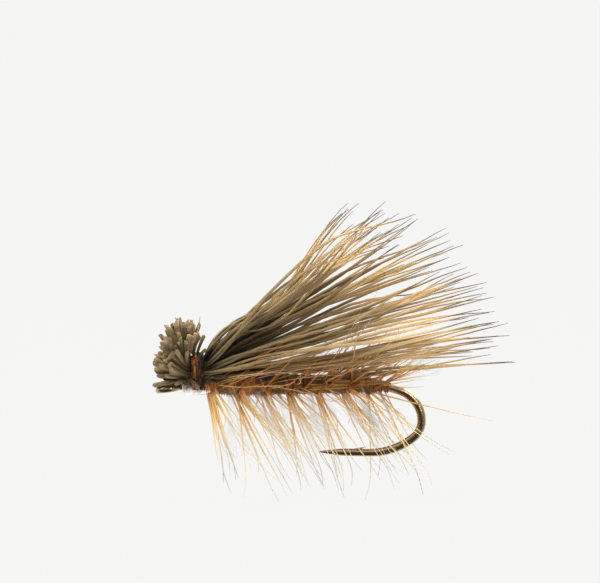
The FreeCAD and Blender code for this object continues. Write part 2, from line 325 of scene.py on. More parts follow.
def smooth_mesh(name, points, faces):
    """Smooth mesh of points in metres."""
    mesh = bpy.data.meshes.new(name)
    mesh.from_pydata(points, [], faces)
    mesh.polygons.foreach_set("use_smooth", [True] * len(faces))
    return mesh


def stem_line():
    """Centre line of the hackle stem, from the tail to the head of the body."""
    start = body_end - stem_from_tail
    end = body_start + stem_from_head
    points = []
    for share in shares(hackle_turns * coil_steps):
        x = start + (end - start) * share
        radius = body_profile(x) + stem_radius + fit_gap
        points.append(on_shank(x, -90.0 + 360.0 * hackle_turns * share, radius))
    return points


# ---- Fibres as meshes ----

class Fibres:
    """Tapered tubes gathered into one mesh, with a place along and a tone for each point."""

    def __init__(self, sides):
        self.sides = sides
        self.count = 0
        self.points, self.marks, self.lay, self.faces, self.flat = [], [], [], [], []

    def put(self, points, along, tone, deep, lay):
        """Add points with their marks, and give the number of the first."""
        points = np.reshape(points, (-1, 3))
        many = len(points)
        self.points.append(points)
        self.marks.append(np.column_stack([np.broadcast_to(mark, many) for mark in (along, tone, deep)]))
        self.lay.append(np.broadcast_to(lay, (many, 3)))
        self.count += many
        return self.count - many

    def rings(self, path, radii, flatten):
        """Points of the rings round a path, its normal carried along without twist."""
        tangents = np.gradient(path, axis=0)
        tangents /= np.linalg.norm(tangents, axis=1)[:, None] + 1e-12
        guide = np.array((0.0, 0.0, 1.0)) if abs(tangents[0][2]) < 0.9 else np.array((0.0, 1.0, 0.0))
        normals = np.empty_like(path)
        for index, tangent in enumerate(tangents):
            guide = guide - tangent * guide.dot(tangent)
            guide = guide / (np.linalg.norm(guide) + 1e-12)
            normals[index] = guide
        sides = np.cross(tangents, normals)
        angles = np.arange(self.sides) * (2.0 * pi / self.sides)
        spokes = (normals[:, None, :] * np.cos(angles)[None, :, None] * flatten
                  + sides[:, None, :] * np.sin(angles)[None, :, None])
        return path[:, None, :] + spokes * radii[:, None, None], angles

    def add(self, path, radii, along, tone, flatten=1.0, cut=None, deep=0.0):
        """One fibre. A cut start gets a slanted, sunken end, and every other end a small dome."""
        path, radii, along = (np.asarray(values, dtype=float) for values in (path, radii, along))
        rows, sides = len(path), self.sides
        grid, angles = self.rings(path, radii, flatten)
        outward = path[0] - path[1]
        outward /= np.linalg.norm(outward)
        onward = path[-1] - path[-2]
        onward /= np.linalg.norm(onward)
        if cut is not None:
            grid[0] += outward * ((grid[0] - path[0]) @ np.asarray(cut))[:, None]
        lay = np.empty((rows, sides, 3))
        lay[:, :, 0] = np.concatenate(([0.0], np.cumsum(np.linalg.norm(np.diff(path, axis=0), axis=1))))[:, None]
        lay[:, :, 1] = np.cos(angles)
        lay[:, :, 2] = np.sin(angles)
        first = self.put(grid, np.repeat(along, sides), tone, deep, lay.reshape(-1, 3))
        self.faces += ring_faces(first, rows, sides)
        self.flat += [False] * ((rows - 1) * sides)
        if cut is None:
            self.dome(first, path[0] + outward * radii[0] * 0.5, True, along[0], tone, deep)
        else:
            self.cut_end(first, grid[0], outward, radii[0], along[0] - 0.5, tone, deep)
        last = first + (rows - 1) * sides
        self.dome(last, path[-1] + onward * radii[-1] * 0.8, False, along[-1], tone, deep)

    def dome(self, first, peak, backwards, *marks):
        """Fan from a rim to one point."""
        top = self.put(peak, *marks, (0.0, 0.0, 0.0))
        for side in range(self.sides):
            low, after = first + side, first + (side + 1) % self.sides
            self.faces.append((low, top, after) if backwards else (low, after, top))
        self.flat += [False] * self.sides

    def cut_end(self, first, rim, outward, radius, *marks):
        """Cut face with a rim and a slightly sunken pith."""
        centre = rim.mean(axis=0)
        start = self.put(centre + (rim - centre) * 0.72 - outward * (0.1 * radius), *marks, (0.0, 0.5, 0.5))
        middle = self.put(centre - outward * (0.16 * radius), *marks, (0.0, 0.0, 0.0))
        for side in range(self.sides):
            after = (side + 1) % self.sides
            self.faces.append((first + after, first + side, start + side, start + after))
            self.faces.append((start + after, start + side, middle))
        self.flat += [True] * (2 * self.sides)

    def piece(self, name, material, slot, replaced=()):
        """Write the mesh as one object that rides on the root body."""
        mesh = bpy.data.meshes.new(name)
        points = np.concatenate(self.points) * MM
        mesh.from_pydata(points.tolist(), [], self.faces)
        for label, values in zip(("along", "tone", "deep"), np.concatenate(self.marks).T):
            mesh.attributes.new(label, "FLOAT", "POINT").data.foreach_set("value", values.ravel())
        lay = mesh.attributes.new("lay", "FLOAT_VECTOR", "POINT")
        lay.data.foreach_set("vector", np.concatenate(self.lay).ravel())
        mesh.polygons.foreach_set("use_smooth", [not flat for flat in self.flat])
        finish_piece(name, mesh, material, replaced)


def finish_piece(name, mesh, material, replaced=()):
    """Link a mesh as a piece of the fly."""
    mesh.materials.append(material)
    mesh.update()
    piece = bpy.data.objects.new(name, mesh)
    bpy.context.scene.collection.objects.link(piece)
    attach(piece, "root")
    if replaced:
        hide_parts(*replaced)


# ---- Materials ----

class Tree:
    """A node tree in the making."""

    def __init__(self, holder):
        holder.use_nodes = True
        self.nodes = holder.node_tree.nodes
        self.links = holder.node_tree.links

    def node(self, kind, **settings):
        made = self.nodes.new(kind)
        for key, value in settings.items():
            setattr(made, key, value)
        return made

    def feed(self, socket, item):
        """Set a socket to a number or a colour, or link it to another node's output."""
        if isinstance(item, (int, float)):
            socket.default_value = item
        elif isinstance(item, tuple):
            socket.default_value = (*item, 1.0)
        else:
            self.links.new(item, socket)

    def attribute(self, label):
        return self.node("ShaderNodeAttribute", attribute_name=label).outputs["Fac"]

    def lay(self):
        """Place along a fibre and round it."""
        return self.node("ShaderNodeAttribute", attribute_name="lay").outputs["Vector"]

    def place(self):
        """Place in the fly's frame, in metres."""
        return self.node("ShaderNodeTexCoord").outputs["Object"]

    def noise(self, vector, factors, detail=3.0):
        scaled = self.node("ShaderNodeVectorMath", operation="MULTIPLY")
        scaled.inputs[1].default_value = factors
        self.links.new(vector, scaled.inputs[0])
        made = self.node("ShaderNodeTexNoise")
        for socket, number in (("Scale", 1.0), ("Detail", detail), ("Roughness", 0.55)):
            made.inputs[socket].default_value = number
        self.links.new(scaled.outputs["Vector"], made.inputs["Vector"])
        return made.outputs["Fac"]

    def math(self, operation, first, second):
        made = self.node("ShaderNodeMath", operation=operation)
        self.feed(made.inputs[0], first)
        self.feed(made.inputs[1], second)
        return made.outputs["Value"]

    def ramp(self, fac, stops):
        made = self.node("ShaderNodeValToRGB")
        elements = made.color_ramp.elements
        elements[0].position, elements[0].color = stops[0][0], (*stops[0][1], 1.0)
        elements[1].position, elements[1].color = stops[-1][0], (*stops[-1][1], 1.0)
        for position, colour in stops[1:-1]:
            elements.new(position).color = (*colour, 1.0)
        self.links.new(fac, made.inputs["Fac"])
        return made.outputs["Color"]

    def mix(self, fac, first, second):
        made = self.node("ShaderNodeMix", data_type="RGBA", blend_type="MIX", clamp_factor=True)
        for index, item in ((0, fac), (6, first), (7, second)):
            self.feed(made.inputs[index], item)
        return made.outputs[2]

    def hue(self, colour, hue, saturation, value):
        made = self.node("ShaderNodeHueSaturation")
        for socket, item in (("Color", colour), ("Hue", hue), ("Saturation", saturation), ("Value", value)):
            self.feed(made.inputs[socket], item)
        return made.outputs["Color"]

    def range(self, value, low, high, to_low=0.0, to_high=1.0, **settings):
        made = self.node("ShaderNodeMapRange", **settings)
        self.links.new(value, made.inputs["Value"])
        sockets = ("From Min", "From Max", "To Min", "To Max")
        for socket, number in zip(sockets, (low, high, to_low, to_high)):
            made.inputs[socket].default_value = number
        return made.outputs["Result"]


class Material(Tree):
    """A procedural material in the making."""

    def __init__(self, name):
        self.material = bpy.data.materials.new(name)
        super().__init__(self.material)
        self.shader = self.nodes["Principled BSDF"]

    def values(self, *pairs):
        """Set sockets of the shader, each given by its name and its value."""
        for socket, value in pairs:
            self.feed(self.shader.inputs[socket], value)

    def soft(self, weight, reach, scale):
        """Let light scatter inside, by its colour, over scale in millimetres."""
        self.values(("Subsurface Weight", weight), ("Subsurface Scale", scale * MM))
        self.shader.inputs["Subsurface Radius"].default_value = reach

    def colour(self, colour):
        self.links.new(colour, self.shader.inputs["Base Color"])

    def rough(self, value):
        self.links.new(value, self.shader.inputs["Roughness"])

    def bump(self, height, distance, strength=1.0):
        made = self.node("ShaderNodeBump")
        made.inputs["Distance"].default_value = distance * MM
        made.inputs["Strength"].default_value = strength
        self.links.new(height, made.inputs["Height"])
        self.links.new(made.outputs["Normal"], self.shader.inputs["Normal"])


def elk_hair_material():
    """Elk hair: grey-brown at the root, golden towards the end, with a dark fine tip and pale cut ends, and
    painted shade at the collar and inside the bundle near it.
    """
    m = Material("elk_hair")
    along = m.attribute("along")
    tone = m.attribute("tone")
    lay = m.lay()
    # Painted shade: hairs deep inside the bundle are darkened near the collar, where little light reaches them.
    shade_near_collar = m.math("MULTIPLY", m.range(along, 0.05, 0.34, 1.0, 0.0), m.range(along, -0.4, -0.02))
    painted_shade_inside = m.math("MULTIPLY", m.attribute("deep"), shade_near_collar)
    streaks = m.noise(lay, (0.7, 2.4, 2.4), 1.5)
    fine = m.noise(lay, (1.0, 4.0, 4.0), 1.0)
    shifted = m.math("ADD", along, m.range(tone, 0.0, 1.0, -0.06, 0.06))
    # The near-black first stops are painted shade where the hairs go into the collar; further out the colours
    # are the hair's own.
    wing = m.ramp(shifted, (
        (0.0, (0.012, 0.008, 0.004)), (0.03, (0.07, 0.048, 0.023)),
        (0.08, (0.148, 0.11, 0.056)), (0.24, (0.203, 0.148, 0.074)),
        (0.42, (0.268, 0.191, 0.096)), (0.6, (0.37, 0.264, 0.134)),
        (0.76, (0.56, 0.405, 0.215)), (0.86, (0.48, 0.335, 0.165)),
        (0.93, (0.17, 0.12, 0.069)), (1.0, (0.06, 0.05, 0.04)),
    ))
    # Towards the collar the butts darken to near-black: painted shade where they go into it.
    butt = m.ramp(m.range(along, -1.5, 0.0), (
        (0.0, (0.172, 0.126, 0.07)), (0.22, (0.208, 0.155, 0.088)),
        (0.36, (0.204, 0.15, 0.081)), (0.58, (0.108, 0.077, 0.037)),
        (0.8, (0.045, 0.032, 0.015)), (1.0, (0.022, 0.015, 0.008)),
    ))
    base = m.mix(m.range(along, -0.02, 0.02), butt, wing)
    value = m.math("MULTIPLY", m.range(tone, 0.0, 1.0, 0.55, 1.34), m.range(streaks, 0.25, 0.75, 0.7, 1.28))
    # Painted shade: down to 30% of the value for hairs deep inside the bundle near the collar.
    value = m.math("MULTIPLY", value, m.range(painted_shade_inside, 0.0, 0.8, 1.0, 0.3))
    m.colour(m.hue(base, m.range(tone, 0.0, 1.0, 0.494, 0.506), m.range(streaks, 0.3, 0.7, 0.9, 1.15), value))
    m.rough(m.range(fine, 0.3, 0.7, 0.36, 0.58))
    m.values(("Specular IOR Level", 0.2), ("Sheen Weight", 0.05), ("Sheen Roughness", 0.4))
    m.soft(0.4, (1.0, 0.8, 0.55), 0.06)
    m.bump(m.math("ADD", streaks, m.math("MULTIPLY", fine, 0.3)), 0.008, 0.35)
    return m.material


def hackle_material():
    """Cock hackle: ginger at the stem, straw-coloured further out, with a clear greyish tip."""
    m = Material("hackle_barb")
    along = m.attribute("along")
    tone = m.attribute("tone")
    streaks = m.noise(m.lay(), (1.4, 1.5, 1.5))
    shifted = m.math("ADD", along, m.range(tone, 0.0, 1.0, -0.2, 0.2))
    base = m.ramp(shifted, (
        (0.0, (0.66, 0.34, 0.085)), (0.18, (0.83, 0.52, 0.18)),
        (0.44, (0.87, 0.64, 0.29)), (0.68, (0.88, 0.71, 0.42)),
        (0.88, (0.64, 0.61, 0.54)), (1.0, (0.46, 0.45, 0.43)),
    ))
    rust = m.mix(m.attribute("deep"), base, (0.38, 0.125, 0.018))
    m.colour(m.hue(rust, 0.5, m.range(streaks, 0.3, 0.7, 0.9, 1.1), m.range(streaks, 0.25, 0.75, 0.85, 1.12)))
    m.rough(m.range(streaks, 0.3, 0.7, 0.32, 0.5))
    m.values(("Transmission Weight", 0.45), ("IOR", 1.35))
    m.soft(0.5, (1.0, 0.6, 0.3), 0.08)
    m.bump(streaks, 0.006, 0.5)
    return m.material


def web_material():
    """Web of the hackle: pale, downy and nearly clear."""
    m = Material("hackle_web")
    streaks = m.noise(m.lay(), (2.0, 1.0, 1.0))
    m.colour(m.ramp(streaks, ((0.3, (0.73, 0.75, 0.78)), (0.7, (0.85, 0.865, 0.89)))))
    m.values(("Roughness", 0.6), ("Specular IOR Level", 0.1), ("IOR", 1.02), ("Transmission Weight", 0.65))
    return m.material


def grained_material(name, factors, stops, rough, relief, detail=3.0):
    """Material whose grain gives its colour, its gloss and its relief."""
    m = Material(name)
    grain = m.noise(m.place(), factors, detail)
    m.colour(m.ramp(grain, stops))
    m.rough(m.range(grain, 0.3, 0.7, *rough))
    m.bump(grain, *relief)
    return m


def stem_material():
    """Hackle stem: rusty brown, glossy and finely grooved."""
    stops = (0.25, (0.13, 0.042, 0.01)), (0.55, (0.3, 0.105, 0.022)), (0.8, (0.47, 0.21, 0.06))
    factors = (900.0, 2600.0, 2600.0)
    return grained_material("hackle_stem_rust", factors, stops, (0.34, 0.55), (0.02, 0.8), 4.0).material


def thread_material(name, dark, light):
    """Waxed thread: fine twisted filaments."""
    m = Material(name)
    place = m.place()
    twist = m.noise(place, (14000.0, 5000.0, 5000.0))
    patches = m.noise(place, (1500.0, 1500.0, 1500.0))
    thread = m.ramp(twist, ((0.3, dark), (0.75, light)))
    m.colour(m.mix(m.range(patches, 0.4, 0.62), tuple(0.35 * part for part in dark), thread))
    m.rough(m.range(twist, 0.3, 0.7, 0.42, 0.68))
    m.bump(twist, 0.015, 0.8)
    return m.material


def collar_material():
    """Thread of the collar: rust at the front, with painted shade that turns the wraps almost black at the back,
    where the hair covers them.
    """
    m = Material("thread_collar_wraps")
    tone = m.attribute("tone")
    twist = m.noise(m.lay(), (9.0, 2.0, 2.0), 4.0)
    gaps = m.noise(m.place(), (6500.0, 2400.0, 2400.0))
    # The ramp from rust to near-black paints shade on the back wraps; the rust is the thread's own colour.
    wraps = m.ramp(tone, (
        (0.0, (0.4, 0.125, 0.024)), (0.4, (0.3, 0.09, 0.018)),
        (0.52, (0.05, 0.024, 0.009)), (1.0, (0.014, 0.009, 0.004)),
    ))
    # Value from the twist of the thread, and darker in patches, down to a tenth.
    twist_and_dark_patches = m.math("MULTIPLY", m.range(twist, 0.25, 0.75, 0.4, 1.5), m.range(gaps, 0.42, 0.56, 0.1, 1.0))
    m.colour(m.hue(wraps, 0.5, 1.0, twist_and_dark_patches))
    m.rough(m.range(twist, 0.3, 0.7, 0.42, 0.68))
    m.bump(twist, 0.02, 0.8)
    return m.material


def dubbing_material():
    """Blended fur: mostly rust, with dark, olive and pale guard hairs."""
    m = Material("fur_dubbing")
    tone = m.attribute("tone")
    streaks = m.noise(m.lay(), (3.0, 2.0, 2.0))
    base = m.ramp(tone, (
        (0.0, (0.03, 0.018, 0.006)), (0.18, (0.075, 0.038, 0.01)),
        (0.36, (0.29, 0.104, 0.018)), (0.62, (0.56, 0.19, 0.03)),
        (0.8, (0.64, 0.27, 0.06)), (0.9, (0.21, 0.145, 0.06)),
        (1.0, (0.5, 0.4, 0.26)),
    ))
    clumps = m.noise(m.place(), (1900.0, 1300.0, 1300.0), 2.0)
    blend = m.mix(m.range(clumps, 0.44, 0.6, 0.0, 0.75), base, (0.085, 0.062, 0.026))
    m.colour(m.hue(blend, 0.5, 1.0, m.range(streaks, 0.25, 0.75, 0.8, 1.5)))
    m.values(("Roughness", 0.55), ("Specular IOR Level", 0.3))
    m.values(("Sheen Weight", 0.08), ("Sheen Roughness", 0.5))
    m.bump(streaks, 0.004, 0.5)
    return m.material


def bronze_material():
    """Bronzed hook wire: dark brown with warm, drawn highlights."""
    m = Material("hook_bronze")
    place = m.place()
    drawn = m.noise(place, (700.0, 5200.0, 5200.0), 4.0)
    patches = m.noise(place, (600.0, 600.0, 600.0), 4.0)
    dark = m.ramp(patches, ((0.3, (0.4, 0.3, 0.17)), (0.7, (0.52, 0.4, 0.24))))
    m.colour(m.mix(m.range(drawn, 0.35, 0.7, 0.0, 0.3), dark, (0.56, 0.45, 0.29)))
    m.values(("Metallic", 1.0))
    m.rough(m.range(drawn, 0.3, 0.7, 0.15, 0.22))
    m.bump(drawn, 0.0015, 0.3)
    return m.material


def rib_material():
    """Fine pale rib, dulled by the fur."""
    stops = (0.35, (0.16, 0.12, 0.07)), (0.7, (0.46, 0.39, 0.28))
    m = grained_material("rib_wire_pale", (3000.0, 3000.0, 3000.0), stops, (0.35, 0.6), (0.004, 0.5))
    m.values(("Metallic", 0.3))
    return m.material


def cement_material():
    """Clear head cement, glossy and slightly hazy, with the pale backdrop seen through it painted in as white
    and grey patches.
    """
    m = Material("head_cement_clear")
    cloud_and_painted_backdrop = m.noise(m.place(), (1800.0, 2400.0, 2400.0), 2.0)
    # Painted refraction: the white and grey-beige colour stand in for the backdrop seen through the clear
    # cement.
    m.colour(m.ramp(cloud_and_painted_backdrop, ((0.3, (0.6, 0.56, 0.49)), (0.45, (0.97, 0.965, 0.95)))))
    m.values(("Roughness", 0.06), ("IOR", 1.46), ("Transmission Weight", 0.15))
    m.links.new(m.range(cloud_and_painted_backdrop, 0.34, 0.54, 0.55, 0.96), m.shader.inputs["Alpha"])
    m.bump(cloud_and_painted_backdrop, 0.03, 0.5)
    return m.material


# ---- Hair ----

def hair_seats():
    """Rows of close-packed hairs in the collar, from the lowest, as (across, up) from the bundle's centre."""
    row_pitch = hair_spacing * sqrt(0.75)
    half_rows = int(bundle_half_height / row_pitch)
    rows = []
    for row in range(-half_rows, half_rows + 1):
        up = row * row_pitch
        reach = bundle_half_width * sqrt(1.0 - (up / bundle_half_height) ** 2) + 0.02
        shift = 0.5 * (row % 2)
        half_count = int(reach / hair_spacing) + 1
        seats = []
        for place in range(-half_count, half_count + 1):
            across = (place + shift) * hair_spacing
            if abs(across) <= reach:
                seats.append((across, up))
        rows.append(seats)
    return rows


def clear_of_body(point, gap):
    """Push a point out from the shank until the body has room beneath it."""
    centre = shank_frame(min(point.x, body_end))[0]
    spoke = Vector((0, point.y, point.z - centre.z))
    distance = spoke.length
    least = (body_profile(point.x) + gap) * ease((body_end + 1.5 - point.x) / 2.0)
    wanted = (distance ** 6 + least ** 6) ** (1.0 / 6.0)
    return point + spoke * (wanted / distance - 1.0)


def make_locks(detail):
    """Directions, as (rise, swing), towards which neighbouring hairs gather."""
    locks = []
    for number in range(lock_count):
        share = (number + detail.uniform(-0.5, 0.5)) / (lock_count - 1)
        rise = wing_lowest + (wing_highest - wing_lowest) * (share - lock_crowding * share ** 4)
        locks.append((rise, detail.uniform(-wing_swing, wing_swing)))
    return locks


def add_butt(points, radii, along, seat, row_share, thickness, draws, detail):
    """Cut half of a hair, from its cut end to the collar, and the slant of its cut."""
    across, up = seat
    row_reach = bundle_half_width * sqrt(max(0.02, 1.0 - (up / bundle_half_height) ** 2))
    forward = butt_lowest + (butt_highest - butt_lowest) * row_share + draws.gauss(0.0, butt_scatter)
    spread = butt_swing * max(-1.0, min(1.0, across / row_reach)) + draws.gauss(0.0, butt_scatter)
    stub = butt_length + butt_crest * sin(radians(forward))
    stub += butt_evened * draws.uniform(*butt_uneven)
    full = butt_radius * thickness * draws.uniform(*butt_swelling)
    front = Vector((collar_x - collar_grip, across, bundle_height + up))
    aim = direction(180.0 - forward - detail.gauss(0.0, 3.0), spread + detail.gauss(0.0, 4.0))
    stub *= 1.0 - butt_cut_short * detail.random() ** 2
    stub += crown_length * exp(-((forward - crown_at) / crown_width) ** 2)
    chin = chin_cut * ease((chin_until - forward) / chin_until)
    stub -= chin + nape_cut * ease((forward - nape_from) / nape_over) * ease(4.0 * detail.random())
    leaving = front - Vector((0.4, 0, 0))
    arriving = front - Vector((0.22, 0, 0)) + aim * (0.45 * stub)
    pinch = detail.uniform(*butt_pinch)
    for share in reversed(shares(butt_steps)):
        points.append(bezier(front, leaving, arriving, front + aim * stub, share))
        end = 1.0 - (1.0 - pinch) * max(0.0, (share - 0.86) / 0.14) ** 2
        radii.append((hair_grip_radius + (full - hair_grip_radius) * ease(1.25 * share)) * end)
        along.append(-share)
    return [detail.gauss(0.0, butt_cut_slant) for axis in range(3)]


def add_wing(points, radii, along, seat, row_share, thickness, draws, detail, locks):
    """Long half of a hair, from the collar to its fine tip."""
    across, up = seat
    rise = wing_lowest + (wing_highest - wing_lowest) * row_share + draws.gauss(0.0, wing_scatter)
    swing = wing_swing * across / bundle_half_width + draws.gauss(0.0, wing_scatter)
    reach = (wing_length - wing_shortening * rise * rise) * (1.0 - 0.2 * draws.random() ** 2)
    wave = draws.uniform(*wing_wave)
    phase = draws.uniform(0.0, 2.0 * pi)
    rise += detail.gauss(0.0, 1.1)
    lock_rise, lock_swing = min(
        locks, key=lambda lock: abs(lock[0] - rise) + lock_swing_weight * abs(lock[1] - swing))
    pull = min(lock_pull_most, detail.uniform(*lock_pull) + lock_pull_above * row_share)
    hook = detail.gauss(0.0, 1.0)
    if row_share < 0.15:
        hook = abs(hook)
    crimp = detail.uniform(*crimp_height)
    crimp_length = detail.uniform(*crimp_pitch)
    crimp_phase = detail.uniform(0.0, 6.28)

    root = Vector((collar_x + collar_grip, 0, bundle_height))
    rear = root + Vector((0, across, up))
    tip = root + direction(rise, swing) * reach
    leaving = rear + Vector((wing_leaves_straight, 0, 0))
    arriving = rear + direction(rise * wing_lift, swing) * (wing_arrives_from * reach)
    turned = swing + lock_swing_share * (lock_swing - swing)
    gathered = direction(lock_rise, turned) - direction(rise, swing)
    upright = direction(rise + 90.0, 0.0)
    lifted = 2.0 * ease((rise - 34.0) / 12.0)
    slimmed = 1.0 - upper_slimming * ease((row_share - 0.4) / 0.45)
    wing_points = []
    for even_share in shares(wing_steps):
        share = even_share ** wing_step_power
        point = bezier(rear, leaving, arriving, tip, share)
        sway = 2.1 * wave * share * sin(phase + 2.0 * pi * wing_waves * share)
        point = point + Vector((-0.3 * sway, 0.6 * sway * cos(phase), sway))
        held = ease((share - 0.17) / 0.46) * (1.0 - 0.4 * ease((share - 0.8) / 0.2))
        point = point + gathered * (pull * held * reach * share)
        bent = max(0.0, share - tip_hook_from) ** 2 / 0.16
        point = point + upright * (tip_hook * (hook + 0.5 * lifted) * bent)
        sagging = sin(pi * max(0.0, share - upper_sag_from) / 0.6) ** 2
        point = point - upright * (upper_sag * lifted * sagging)
        point = point + upright * (upper_arch * lifted * sin(pi * min(1.0, share / 0.6)))
        wing_points.append(clear_of_body(point, hair_radius + 0.03))
    runs = run_lengths(wing_points)
    for point, run in zip(wing_points, runs):
        ripple = crimp * ease(run / 2.0) * sin(crimp_phase + 2.0 * pi * run / crimp_length)
        points.append(point + Vector((0, ripple, ripple * sin(crimp_phase))))
        swell = ease(run / hair_swells_over)
        full = hair_grip_radius + (hair_radius * thickness * slimmed - hair_grip_radius) * swell
        tapered = max(0.0, (run / runs[-1] - hair_tapers_from) / (1.0 - hair_tapers_from))
        radii.append(full + (hair_tip_radius - full) * tapered ** 1.3)
        along.append(max(0.001, run / runs[-1]))


def make_hair(material):
    """The wing and the head: one piece for each row of hairs."""
    draws = random.Random(seed)
    detail = random.Random(seed + 1)
    locks = make_locks(detail)
    rows = hair_seats()
    for number, seats in enumerate(rows):
        share = number / (len(rows) - 1)
        fibres = Fibres(10)
        for seat in seats:
            thickness = draws.uniform(*hair_uneven)
            points, radii, along = [], [], []
            cut = add_butt(points, radii, along, seat, share, thickness, draws, detail)
            add_wing(points, radii, along, seat, share, thickness, draws, detail, locks)
            # The deep mark sets how much painted shade a hair gets near the collar: more the further inside the
            # bundle it lies.
            inside = 1.0 - hypot(seat[0] / bundle_half_width, seat[1] / bundle_half_height)
            fibres.add(points, radii, along, detail.random(), cut=cut, deep=ease(1.6 * inside))
        row = "%02d" % (number + 1)
        fibres.piece("wing_hair_" + row, material, "elk_hair", ("elk_hair_row_" + row,))


def make_strays(material):
    """Loose hairs caught in the head, short butts that lean their own way, and butts that fill the head."""
    centre = Vector((collar_x, 0, bundle_height))
    # Each is four points of a cubic curve, from the centre of the bundle, and the radii of its ends.
    routes = (
        ((-0.45, 0.3, 0.95), (-0.2, 0.35, 2.0), (0.05, 0.3, 2.45), (-1.6, 0.1, 2.65), 0.075, 0.085),
        ((-0.4, -0.35, 0.95), (-0.3, -0.4, 1.6), (0.05, -0.45, 2.3), (0.12, -0.5, 3.3), 0.09, 0.012),
        ((-0.1, -0.35, 0.75), (-0.05, -0.4, 1.1), (0.1, -0.45, 1.5), (0.36, -0.5, 2.05), 0.08, 0.12),
        ((0.05, -0.5, 0.7), (0.1, -0.55, 0.8), (0.2, -0.6, 1.0), (0.45, -0.65, 1.2), 0.08, 0.11),
        ((-0.3, -0.42, 0.75), (-0.28, -0.48, 1.1), (-0.16, -0.52, 1.5), (-0.02, -0.55, 2.2), 0.08, 0.125),
        ((-0.35, 0.3, 0.85), (-0.36, 0.36, 1.1), (-0.2, 0.42, 1.5), (0.06, 0.5, 1.95), 0.08, 0.125),
        ((-0.62, -0.8, -0.55), (-0.4, -0.98, -0.7), (-0.2, -1.05, -0.9), (0.02, -1.06, -1.16), 0.1, 0.13),
        ((-0.45, -0.3, -0.62), (-1.0, -0.36, -0.84), (-1.7, -0.42, -0.94), (-2.72, -0.46, -1.06), 0.08, 0.135),
        ((-0.45, 0.05, -0.66), (-1.0, 0.02, -0.88), (-1.7, -0.04, -0.98), (-2.78, -0.08, -1.05), 0.08, 0.14),
        ((-0.45, 0.34, -0.62), (-1.0, 0.4, -0.84), (-1.7, 0.46, -0.94), (-2.62, 0.52, -1.04), 0.08, 0.13),
        ((-0.45, -0.55, -0.5), (-1.0, -0.66, -0.7), (-1.6, -0.76, -0.8), (-2.35, -0.9, -0.92), 0.08, 0.14),
        ((-0.45, -0.3, 0.1), (-1.0, -0.36, 0.32), (-1.7, -0.42, 0.7), (-2.44, -0.48, 1.0), 0.08, 0.132),
        ((-0.45, 0.05, 0.0), (-1.0, 0.02, 0.2), (-1.7, -0.04, 0.48), (-2.56, -0.1, 0.7), 0.08, 0.132),
    )
    fibres = Fibres(10)
    steps = shares(16)
    for number, (*corners, first, last) in enumerate(routes):
        points = curve(*(centre + Vector(corner) for corner in corners), 16)
        radii = [first + (last - first) * share for share in steps]
        along = [0.45 + 0.55 * share if last < first else -0.2 - 0.6 * share for share in steps]
        fibres.add(points, radii, along, 0.35 + 0.05 * number, cut=(0.3, 0.0, 0.2))
    filling = random.Random(seed + 9)
    steps = shares(butt_steps)
    for number in range(filler_count):
        forward = filler_lowest + filler_span * (number + filling.random()) / filler_count
        spread = filling.uniform(*filler_spread) * (-1.0 if number % 2 else 1.0)
        start = centre + Vector((-0.4, 0.01 * spread, -0.4 + 0.011 * forward))
        aim = direction(180.0 - forward, spread)
        end = start + aim * (filling.uniform(*filler_length) + 0.003 * max(0.0, forward))
        points = curve(end, start + aim * 1.2, start - Vector((0.15, 0, 0)), start, butt_steps)
        radii = [0.132 - 0.062 * ease(1.2 * share - 0.2) for share in steps]
        cut = [filling.gauss(0.0, 0.5) for axis in range(3)]
        fibres.add(points, radii, [share - 1.0 for share in steps], filling.random(), cut=cut)
    fibres.piece("stray_hair_loose", material, "elk_hair", ("stray_hairs",))


def make_underfur(material):
    """Fine fur that was left among the hair, before and behind the collar."""
    detail = random.Random(seed + 4)
    fibres = Fibres(6)
    for number in range(underfur_count):
        back = detail.random() < 0.55
        heading = 1.0 if back else -1.0
        across = detail.uniform(-0.75, 0.75)
        low = bundle_height - bundle_half_height * sqrt(1.0 - (across / 0.82) ** 2)
        start = Vector((collar_x + heading * 0.1, across, low + detail.uniform(-0.1, 0.25)))
        length = detail.uniform(0.5, 1.9) if back else detail.uniform(0.4, 1.3)
        aim = direction(detail.gauss(-4.0, 9.0), detail.gauss(0.0, 10.0) + 14.0 * across)
        aim.x *= heading
        waver = detail.uniform(-0.09, 0.09)
        width = detail.uniform(0.02, 0.052)
        points = []
        for share in shares(8):
            point = start + aim * (length * share) + Vector((0, 0, waver * sin(3.0 * share)))
            points.append(clear_of_body(point, 0.03))
        radii = [width * (1.0 - 0.6 * step / 8.0) for step in range(9)]
        # The small along marks give the underfur the dark start of the hair ramp, which is partly painted shade
        # at the collar.
        fibres.add(points, radii, [0.02 + 0.012 * step for step in range(9)], detail.uniform(0.0, 0.6))
    fibres.piece("collar_underfur", material, "elk_hair")


# ---- Collar and cement ----

def collar_point(x, angle, grow):
    """Point of the egg-shaped loop round the shank and the hair bundle."""
    bottom = shank_frame(collar_x)[0].z - thread_base_radius - 0.02 - grow
    top = bundle_height + bundle_half_height + hair_grip_radius + 0.06 + grow
    turned = radians(angle)
    y = (0.95 + grow) * cos(turned) * (1.0 + 0.25 * sin(turned))
    return Vector((x, y, 0.5 * (top + bottom) + 0.5 * (top - bottom) * sin(turned)))


